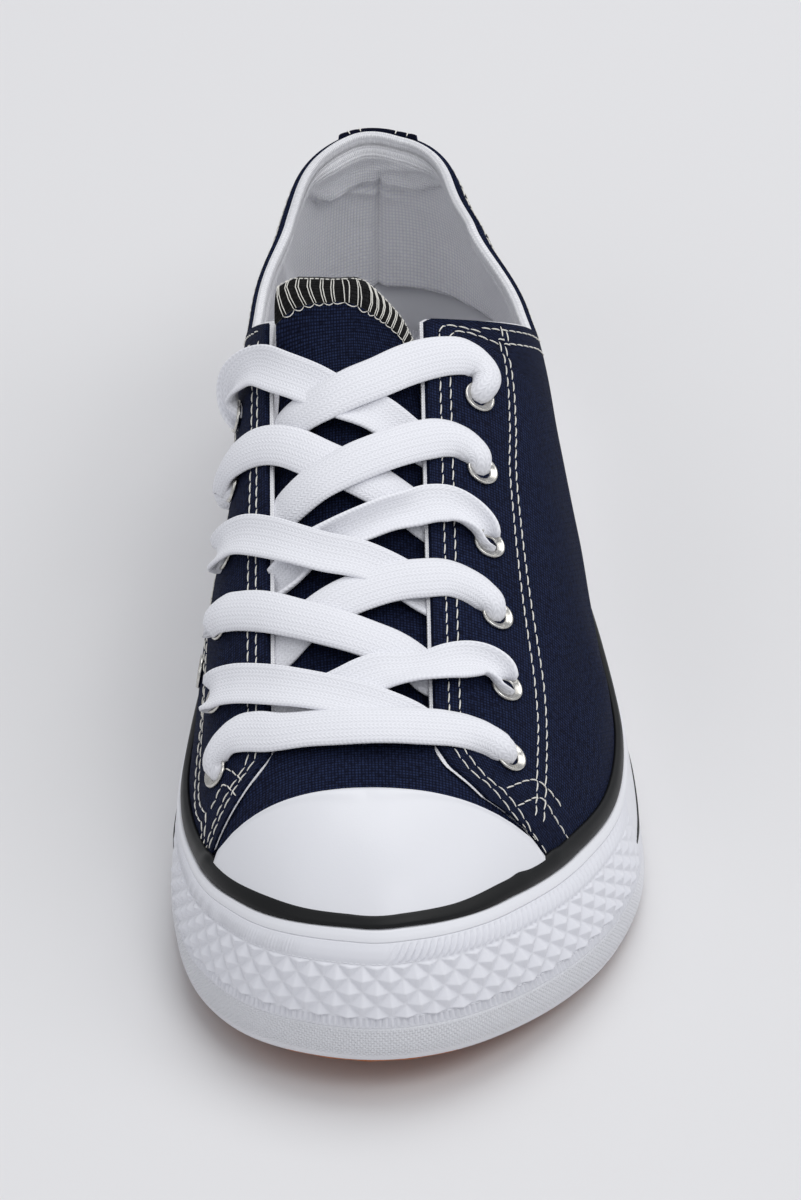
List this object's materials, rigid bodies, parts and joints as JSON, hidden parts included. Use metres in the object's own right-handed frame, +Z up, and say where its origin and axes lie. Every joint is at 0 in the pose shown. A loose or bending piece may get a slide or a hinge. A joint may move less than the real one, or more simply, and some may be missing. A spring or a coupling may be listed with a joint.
{
  "type": "low canvas sneaker",
  "caption": "Low lace-up canvas shoe for the left foot: hollow cloth upper, white rubber toe cap and textured toe guard on a wrapped vulcanised sole.",
  "frame": {"origin": "middle of the shoe's bounding box on plan, on the floor that the sole rests on", "axes": "+Z up, -Y to the toe, +X to the outer (lateral) side of this left shoe"},
  "size_m": [0.1018, 0.2753, 0.0944],
  "materials": {
    "outsole": "matt gum rubber",
    "midsole": "sponge rubber filler",
    "foxing": "satin white vulcanised rubber",
    "toe_bumper": "white rubber with moulded ribs and studs",
    "foxing_tape": "satin black rubber tape",
    "upper": "plain-woven dark navy cotton canvas with cream stitching",
    "toe_cap": "smooth satin white rubber",
    "heel_stay": "dark navy canvas strip",
    "tongue": "dark navy canvas with a bound top edge",
    "insole": "light grey cloth sock lining",
    "eyelets": "bright nickel-plated eyelets",
    "laces": "flat woven white cotton lace"
  },
  "bodies": {
    "root": {"outsole": "outsole", "midsole": "midsole", "foxing": "foxing", "toe_bumper": "toe_bumper", "foxing_tape": "foxing_tape", "upper": "upper", "toe_cap": "toe_cap", "heel_stay": "heel_stay", "tongue": "tongue", "insole": "insole", "eyelet_outer_1": "eyelets", "eyelet_outer_2": "eyelets", "eyelet_outer_3": "eyelets", "eyelet_outer_4": "eyelets", "eyelet_outer_5": "eyelets", "eyelet_outer_6": "eyelets", "eyelet_inner_1": "eyelets", "eyelet_inner_2": "eyelets", "eyelet_inner_3": "eyelets", "eyelet_inner_4": "eyelets", "eyelet_inner_5": "eyelets", "eyelet_inner_6": "eyelets", "vent_1": "eyelets", "vent_2": "eyelets", "lace_1": "laces", "lace_2": "laces", "lace_3": "laces", "lace_4": "laces", "lace_5": "laces", "lace_6": "laces"}
  },
  "joints": []
}
